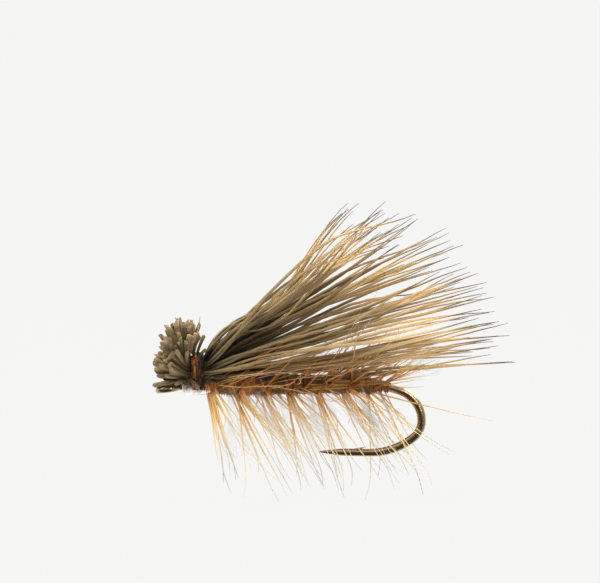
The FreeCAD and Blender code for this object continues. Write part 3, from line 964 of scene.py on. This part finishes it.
def make_collar(material):
    """Crossing, uneven wraps of thread, with broken filaments standing off them."""
    detail = random.Random(seed + 5)
    fibres = Fibres(7)
    for number in range(wrap_count):
        share = number / (wrap_count - 1)
        middle = collar_x - 0.3 + 0.54 * share + detail.gauss(0.0, 0.04)
        slope = detail.gauss(0.0, 0.09)
        skew = detail.uniform(0.0, 360.0)
        grow = detail.uniform(-0.08, 0.03)
        width = detail.uniform(0.026, 0.05)
        points = []
        for step in range(wrap_steps + 1):
            angle = 360.0 * step / wrap_steps * wrap_turned + skew
            turned = radians(angle)
            wander = slope * sin(turned) + 0.026 * sin(radians(5.0 * angle) + number)
            loose = grow + 0.03 * sin(radians(3.0 * angle) + 2.0 * number)
            points.append(collar_point(middle + wander, angle, loose))
        # The tone rises towards the back wraps, so the collar ramp paints them with shade.
        tone = clamped(share + 0.04 + detail.gauss(0.0, 0.16))
        fibres.add(points, [width] * len(points), [0.0] * len(points), tone)
    for number in range(filament_count):
        angle = detail.uniform(0.0, 360.0)
        start = collar_point(collar_x + detail.uniform(-0.3, 0.3), angle, 0.0)
        bow = Vector((detail.gauss(0.0, 0.2), detail.gauss(0.0, 0.12), detail.gauss(0.0, 0.2)))
        out = collar_point(start.x, angle + detail.gauss(0.0, 14.0), detail.uniform(0.03, 0.14))
        end_x = start.x + detail.gauss(0.0, 0.2)
        end = collar_point(end_x, angle + detail.gauss(0.0, 24.0), detail.uniform(0.0, 0.1))
        points = curve(start, out, out + bow, end, 10)
        fibres.add(points, [filament_radius] * len(points), shares(10), detail.random())
    fibres.piece("thread_collar_loose", material, "thread", ("thread_collar",))


def make_film(material):
    """Runny, lumpy film of cement under the whip finish, the collar and the front of the body."""
    detail = random.Random(seed + 6)
    lumps = [(detail.uniform(collar_x - 1.15, collar_x + 1.1), detail.uniform(200.0, 340.0),
              detail.uniform(0.03, 0.11), detail.uniform(0.1, 0.26)) for number in range(film_lumps)]
    vertices = []
    for share in shares(film_columns):
        x = collar_x - film_half_length + 2.0 * film_half_length * share
        close = sqrt(max(0.0, sin(pi * share)))
        below = 0.21 + 0.13 * ease((x - body_start + 0.2) / 0.4)
        for side in range(film_sides):
            angle = 360.0 * side / film_sides
            lowest = 0.5 - 0.5 * sin(radians(angle))
            radius = (film_top_radius + below * ease(1.6 * lowest - 0.5)) * close
            for lump_x, lump_angle, height, size in lumps:
                turn = (angle - lump_angle + 180.0) % 360.0 - 180.0
                apart = ((x - lump_x) / size) ** 2 + (turn / 57.3 * 0.4 / size) ** 2
                radius += height * exp(-apart) * close
            vertices.append(on_shank(x, angle, max(0.01, radius)) * MM)
    faces = ring_faces(0, film_columns + 1, film_sides, reverse=True)
    faces.append(tuple(range(film_sides)))
    faces.append(tuple(film_columns * film_sides + side for side in reversed(range(film_sides))))
    mesh = smooth_mesh("cement_film", vertices, faces)
    finish_piece("cement_film", mesh, material, ("head_cement",))


# ---- Hackle ----

def barb_curve(base, aim, length, bend, curl, steps):
    """Points of one barb: bowed in the middle and curled at its tip."""
    points = []
    for share in shares(steps):
        offset = bend * (share * share * (1.0 - 0.45 * share)) + curl * max(0.0, share - 0.7) ** 2 / 0.09
        points.append(base + aim * (length * share) + offset)
    return points


def make_hackle(material):
    """The barbs, one piece for each turn of the feather."""
    draws = random.Random(seed)
    detail = random.Random(seed + 2)
    stem = stem_line()
    count = hackle_turns * barbs_per_turn
    groups = [Fibres(6) for turn in range(hackle_turns)]
    for number in range(count):
        place = (number + 0.5) / count * (len(stem) - 1)
        index = min(int(place), len(stem) - 2)
        root = stem[index] + (stem[index + 1] - stem[index]) * (place - index)
        centre, tangent, normal = shank_frame(root.x)
        spoke = (root - centre).normalized()
        around = tangent.cross(spoke)
        lean = barb_sweep + draws.gauss(0.0, 13.0)
        twist = draws.gauss(0.0, 9.0)
        if spoke.z > 0.75:
            twist += 35.0 if spoke.y < 0.0 else -35.0
            lean += 25.0
        aim = spoke + tangent * tan(radians(min(65.0, max(-12.0, lean))))
        aim = (aim + around * tan(radians(twist))).normalized()
        length = barb_fibre_length * draws.uniform(0.86, 1.06)
        base = root + aim * (stem_radius - 0.03)
        bend = tangent * detail.uniform(-0.5, 1.0) + around * detail.uniform(-0.5, 0.5)
        curl = (tangent * detail.gauss(0.0, 1.0) + around * detail.gauss(0.0, 1.0)) * 0.28
        width = detail.uniform(0.042, 0.078)
        pressed = ease((aim.z - 0.1) / 0.4) * ease((root.x - 1.0) / 1.5) * ease((10.5 - root.x) / 2.0)
        bend += (tangent * 3.2 - normal * 2.6) * pressed
        facing = 0.55 * ease((abs(aim.y) - 0.45) / 0.35) * ease((aim.z + 0.55) / 0.4)
        width *= 1.0 - 0.5 * pressed + 0.15 * ease(-2.0 * aim.z - 0.6)
        points = barb_curve(base, aim, length * (1.03 + 0.1 * ease(-1.6 * aim.z - 0.6)), bend, curl, 20)
        radii = taper(width, barb_tip_radius, barb_taper, 20)
        groups[number * hackle_turns // count].add(points, radii, shares(20), detail.random(), flatten=0.55,
                                                   deep=max(facing, 0.9 * pressed))
    for number, fibres in enumerate(groups, 1):
        fibres.piece("hackle_turn_%d" % number, material, "hackle", ("hackle_barbs_%d" % number,))


def add_flank_barbs(fibres, side, detail):
    """Barbs along one flank: every second one stands outside the others."""
    for number in range(flank_barbs):
        x = body_start + 0.3 + (body_end - body_start - 0.5) * (number + detail.random()) / flank_barbs
        outer = number % 2 == 0
        round_body = detail.uniform(-42.0, -14.0) if outer else detail.uniform(-25.0, 50.0)
        base = on_shank(x, (180.0 if side < 0.0 else 0.0) + side * round_body, body_profile(x) + 0.03)
        rise = max(6.0, detail.gauss(36.0, 8.0))
        aim = direction(rise, side * (detail.uniform(26.0, 38.0) if outer else detail.uniform(6.0, 26.0)))
        length = detail.uniform(4.2, 6.0) if outer else detail.uniform(2.6, 5.2)
        bend = Vector((detail.uniform(-0.2, 0.5), 0, detail.uniform(-0.5, 0.3)))
        curl = Vector((detail.gauss(0.0, 0.2), 0, detail.gauss(0.0, 0.2)))
        width = detail.uniform(0.045, 0.08) * (1.5 if outer else 1.1)
        fibres.add(barb_curve(base, aim, length, bend, curl, 18),
                   taper(width, swept_tip_radius, swept_taper, 18), [0.54 * share for share in shares(18)],
                   detail.uniform(0.0, 0.5), flatten=0.6, deep=detail.uniform(0.55, 0.95))


def add_pressed_barbs(fibres, side, detail):
    """Barbs bound down along the top of one flank, as far as the tail."""
    for number in range(pressed_barbs):
        x = body_end - detail.uniform(0.1, 4.6)
        angle = (180.0 if side < 0.0 else 0.0) - side * detail.uniform(-50.0, 30.0)
        base = on_shank(x, angle, body_profile(x) + 0.04)
        end = on_shank(body_end + detail.uniform(0.0, 0.35), 90.0 + side * detail.uniform(-70.0, 10.0), 0.34)
        leaving = on_shank(x + 0.35 * (end.x - x), angle, body_profile(x) + 0.12)
        fibres.add(curve(base, leaving, end + Vector((-0.3, 0, 0.06)), end, 14),
                   [0.068 * (1.0 - 0.4 * share) for share in shares(14)],
                   [0.2 * share for share in shares(14)], detail.uniform(0.0, 0.4), flatten=0.6)


def add_tail_barbs(fibres, side, detail):
    """Barbs that rise behind the end of the body."""
    for number in range(tail_barbs):
        base = on_shank(body_end + 0.05, 90.0 - side * detail.uniform(10.0, 80.0), 0.3)
        aim = direction(detail.gauss(24.0, 12.0), side * detail.uniform(2.0, 30.0))
        bend = Vector((0, 0, detail.uniform(-0.3, 0.5)))
        length = detail.uniform(2.2, 4.6)
        points = barb_curve(base, aim, length, bend, Vector((0, 0, detail.gauss(0.0, 0.25))), 16)
        radii = taper(detail.uniform(0.04, 0.07), swept_tip_radius, swept_taper, 16)
        fibres.add(points, radii, shares(16), detail.uniform(0.1, 0.8), flatten=0.6)


def make_swept_barbs(material):
    """Barbs pressed back along the flanks and the tail, extra ones below, and a long one that trails."""
    detail = random.Random(seed + 7)
    fibres = Fibres(6)
    for side in (-1.0, 1.0):
        add_flank_barbs(fibres, side, detail)
        add_pressed_barbs(fibres, side, detail)
        add_tail_barbs(fibres, side, detail)
    # Groups below: where along the body, how far they lean back, how long, and how many.
    for (least, most), lean_range, length_range, many in (
        ((-0.05, 0.25), (7.0, 17.0), (4.4, 5.8), 7),
        ((0.9, 5.2), (20.0, 52.0), (4.6, 7.0), 13),
        ((7.8, 11.2), (30.0, 54.0), (5.0, 7.8), 13),
    ):
        for number in range(many):
            x = body_start + least + (most - least) * (number + detail.random()) / many
            base = on_shank(x, 270.0 + detail.gauss(0.0, 22.0), body_profile(x) + 0.02)
            lean = radians(detail.uniform(*lean_range))
            aim = (base - shank_frame(x)[0]).normalized() * cos(lean) + Vector((sin(lean), 0, 0))
            bend = Vector((detail.uniform(-0.4, 0.7), 0, detail.uniform(-0.4, 0.4)))
            curl = Vector((detail.gauss(0.0, 0.25), 0, detail.gauss(0.0, 0.2)))
            points = barb_curve(base, aim, detail.uniform(*length_range), bend, curl, 20)
            radii = taper(detail.uniform(0.055, 0.095), barb_tip_radius, barb_taper, 20)
            fibres.add(points, radii, shares(20), detail.uniform(0.3, 1.0), flatten=0.55)
    trailing = barb_curve(on_shank(body_end - 0.9, 250.0, 0.4), direction(-15.5, -3.0), 8.0,
                          Vector((0, 0, 0.45)), Vector((0, 0, 0.05)), 24)
    steps = shares(24)
    fibres.add(trailing, [0.05 - 0.036 * share for share in steps], [0.55 * share for share in steps], 0.4)
    fibres.piece("hackle_swept_barbs", material, "hackle")


def make_web(material):
    """Downy web between the lower barbs."""
    detail = random.Random(seed + 8)
    fibres = Fibres(4)
    for patch in range(down_patches):
        x = body_start + 0.9 + (body_end - body_start - 1.2) * (patch + detail.random()) / down_patches
        angle = 270.0 + detail.gauss(0.0, 34.0)
        lean = detail.gauss(24.0, 14.0)
        first = detail.uniform(0.8, 2.6)
        long = detail.uniform(1.6, 3.4) if x < body_start + 7.0 else detail.uniform(1.0, 1.6)
        for number in range(down_per_patch):
            spot = x + detail.gauss(0.0, 0.1)
            centre, tangent = shank_frame(spot)[:2]
            base = on_shank(spot, angle + detail.gauss(0.0, 7.0), body_profile(spot))
            spoke = (base - centre).normalized()
            aim = (spoke + tangent * tan(radians(lean + detail.gauss(0.0, 4.0)))).normalized()
            start = first * detail.uniform(0.6, 1.3)
            bend = tangent * detail.gauss(0.0, 0.1)
            down = barb_curve(base + aim * start, aim, long * detail.uniform(0.7, 1.2), bend, bend, 8)
            points = [base + aim * (start * step / 3.0) for step in range(3)] + down
            radii = [down_root_radius] * 3
            radii += [down_radius * (1.0 - 0.6 * abs(step - 3.0) / 5.0) for step in range(9)]
            fibres.add(points, radii, shares(11), detail.random())
    fibres.piece("hackle_web_down", material, "hackle")


# ---- Body ----

def make_fur(material):
    """Fine fibres that lie round the body."""
    detail = random.Random(seed + 3)
    fibres = Fibres(4)
    for number in range(fur_count):
        x = detail.uniform(body_start - 0.15, body_end - 0.02)
        angle = detail.uniform(0.0, 360.0)
        sweep = detail.uniform(30.0, 130.0) * detail.choice((-1.0, 1.0))
        drift = detail.gauss(0.0, 0.2)
        sunk = detail.uniform(-0.05, 0.03)
        flare = detail.uniform(0.0, 0.1) if detail.random() < 0.75 else detail.uniform(0.08, 0.24)
        wobble = detail.uniform(0.0, 0.03)
        phase = detail.uniform(0.0, 6.28)
        tone = clamped(detail.gauss(0.5 if x < body_start + 3.5 else 0.34, 0.25))
        width = detail.uniform(0.011, 0.021)
        points = []
        for share in shares(8):
            spot = min(body_end - 0.01, max(body_start - 0.2, x + drift * (share - 0.5)))
            radius = body_profile(max(body_start, spot)) + sunk + flare * max(0.0, share - 0.65) / 0.35
            radius += wobble * sin(phase + 9.0 * share)
            points.append(on_shank(spot, angle + sweep * share, radius))
        fibres.add(points, [width * (1.0 - 0.55 * share) for share in shares(8)], shares(8), tone)
    fibres.piece("dubbing_fibres", material, "dubbing")


def make_core(material):
    """Lumpy fur core inside the fine fibres."""
    fibres = Fibres(48)
    points = []
    radii = []
    for step in range(core_steps + 1):
        x = body_start + (body_end - body_start) * step / core_steps
        points.append(shank_frame(x)[0])
        lump = 0.012 * sin(5.3 * x) + 0.01 * sin(11.7 * x + 1.0)
        radii.append(body_profile(x) - core_sunk + lump)
    fibres.add(points, radii, shares(core_steps), 0.22)
    fibres.piece("dubbing_core", material, "dubbing", ("dubbed_body",))


# ---- CAD nodes that stay, with better materials ----

def dress(node, material):
    """Give a CAD node a better material."""
    node_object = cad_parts[node]
    node_object.data.materials.clear()
    node_object.data.materials.append(material)


# ---- Stage, light and camera ----

def make_stage():
    """Pale floor that curves up into a wall all round, seen by the camera only."""
    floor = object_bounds()[0][2] / MM - floor_gap
    outline = [(stage_flat, floor)]
    for step in range(1, stage_steps + 1):
        angle = radians(90.0 * step / stage_steps)
        rise = stage_sweep * (1.0 - cos(angle))
        outline.append((stage_flat + stage_sweep * sin(angle), floor + rise))
    outline.append((stage_flat + stage_sweep, floor + stage_wall))
    points = [(0.0, 0.0, floor * MM)]
    for radius, height in outline:
        for side in range(stage_sides):
            angle = 2.0 * pi * side / stage_sides
            points.append((radius * cos(angle) * MM, radius * sin(angle) * MM, height * MM))
    faces = [(0, 1 + side, 1 + (side + 1) % stage_sides) for side in range(stage_sides)]
    faces += ring_faces(1, len(outline), stage_sides, reverse=True)
    mesh = smooth_mesh("stage", points, faces)
    pale = Material("stage_pale")
    pale.values(("Base Color", (0.004, 0.004, 0.004)), ("Roughness", 1.0), ("Specular IOR Level", 0.0))
    pale.values(("Emission Color", (1.0, 1.0, 0.992)), ("Emission Strength", 0.908))
    mesh.materials.append(pale.material)
    stage = bpy.data.objects.new("stage", mesh)
    bpy.context.scene.collection.objects.link(stage)
    stage.visible_diffuse = False
    stage.visible_glossy = False
    stage.visible_transmission = False
    stage.visible_shadow = False


def area_light(name, place, size, power, gleams):
    """Soft rectangular light that faces the fly, with its place in millimetres."""
    data = bpy.data.lights.new(name, "AREA")
    data.shape = "RECTANGLE"
    data.size, data.size_y = size[0] * MM, size[1] * MM
    data.energy = power
    data.color = (1.0, 0.98, 0.95)
    light = bpy.data.objects.new(name, data)
    light.visible_glossy = gleams
    light.location = Vector(place) * MM
    light.rotation_euler = (lit_point - Vector(place)).to_track_quat("-Z", "Y").to_euler()
    bpy.context.scene.collection.objects.link(light)


def make_world():
    """White studio above and behind the fly, and a dark room in front of it."""
    world = bpy.data.worlds.new("studio")
    bpy.context.scene.world = world
    sky = Tree(world)
    split = sky.node("ShaderNodeSeparateXYZ")
    sky.feed(split.inputs[0], sky.node("ShaderNodeTexCoord").outputs["Generated"])
    levels = [sky.range(split.outputs[axis], dark, light, 0.07, most, interpolation_type="SMOOTHSTEP")
              for axis, dark, light, most in (
                  ("Y", -0.25, 0.45, 1.0), ("Z", 0.1, 0.75, 1.0), ("X", 0.4, 0.8, 0.45))]
    level = sky.math("MAXIMUM", sky.math("MAXIMUM", levels[0], levels[1]), levels[2])
    sky.feed(sky.nodes["Background"].inputs["Strength"], level)
    sky.feed(sky.nodes["Background"].inputs["Color"], (1.0, 0.99, 0.97))


def make_camera():
    """Long lens, level with the fly and just above it."""
    data = bpy.data.cameras.new("camera")
    data.sensor_width = sensor_width
    data.lens = sensor_width * camera_distance / frame_width
    data.clip_start = 0.01
    data.clip_end = 5.0
    camera = bpy.data.objects.new("camera", data)
    bpy.context.scene.collection.objects.link(camera)
    target = Vector((hook_low.x + 9.05, 0.0, collar_high.z + 3.85))
    elevation = radians(camera_elevation)
    back = Vector((0.0, -cos(elevation), sin(elevation)))
    camera.location = (target + back * camera_distance) * MM
    camera.rotation_euler = (-back).to_track_quat("-Z", "Y").to_euler()
    bpy.context.scene.camera = camera


elk_hair = elk_hair_material()
make_hair(elk_hair)
make_strays(elk_hair)
make_underfur(elk_hair)
make_collar(collar_material())
make_film(cement_material())
ginger = hackle_material()
make_hackle(ginger)
make_swept_barbs(ginger)
make_web(web_material())
dubbing = dubbing_material()
make_fur(dubbing)
make_core(dubbing)
dress("hook", bronze_material())
dress("hackle_stem", stem_material())
dress("rib_wire", rib_material())
dress("whip_finish", thread_material("thread_tan", (0.3, 0.25, 0.19), (0.72, 0.68, 0.6)))
thread = thread_material("thread_rust", (0.085, 0.028, 0.01), (0.36, 0.13, 0.04))
dress("thread_base", thread)
dress("rear_tie_in", thread)

make_stage()
make_world()
area_light("key", (-110.0, -170.0, 240.0), (280.0, 280.0), 1.55, False)
area_light("gleam", (120.0, -220.0, 90.0), (50.0, 160.0), 0.1, True)
area_light("rim", (160.0, 120.0, 200.0), (160.0, 120.0), 0.6, True)
area_light("bounce", (10.0, -110.0, -170.0), (220.0, 220.0), 0.55, False)
bpy.context.scene.view_settings.view_transform = "Standard"
make_camera()
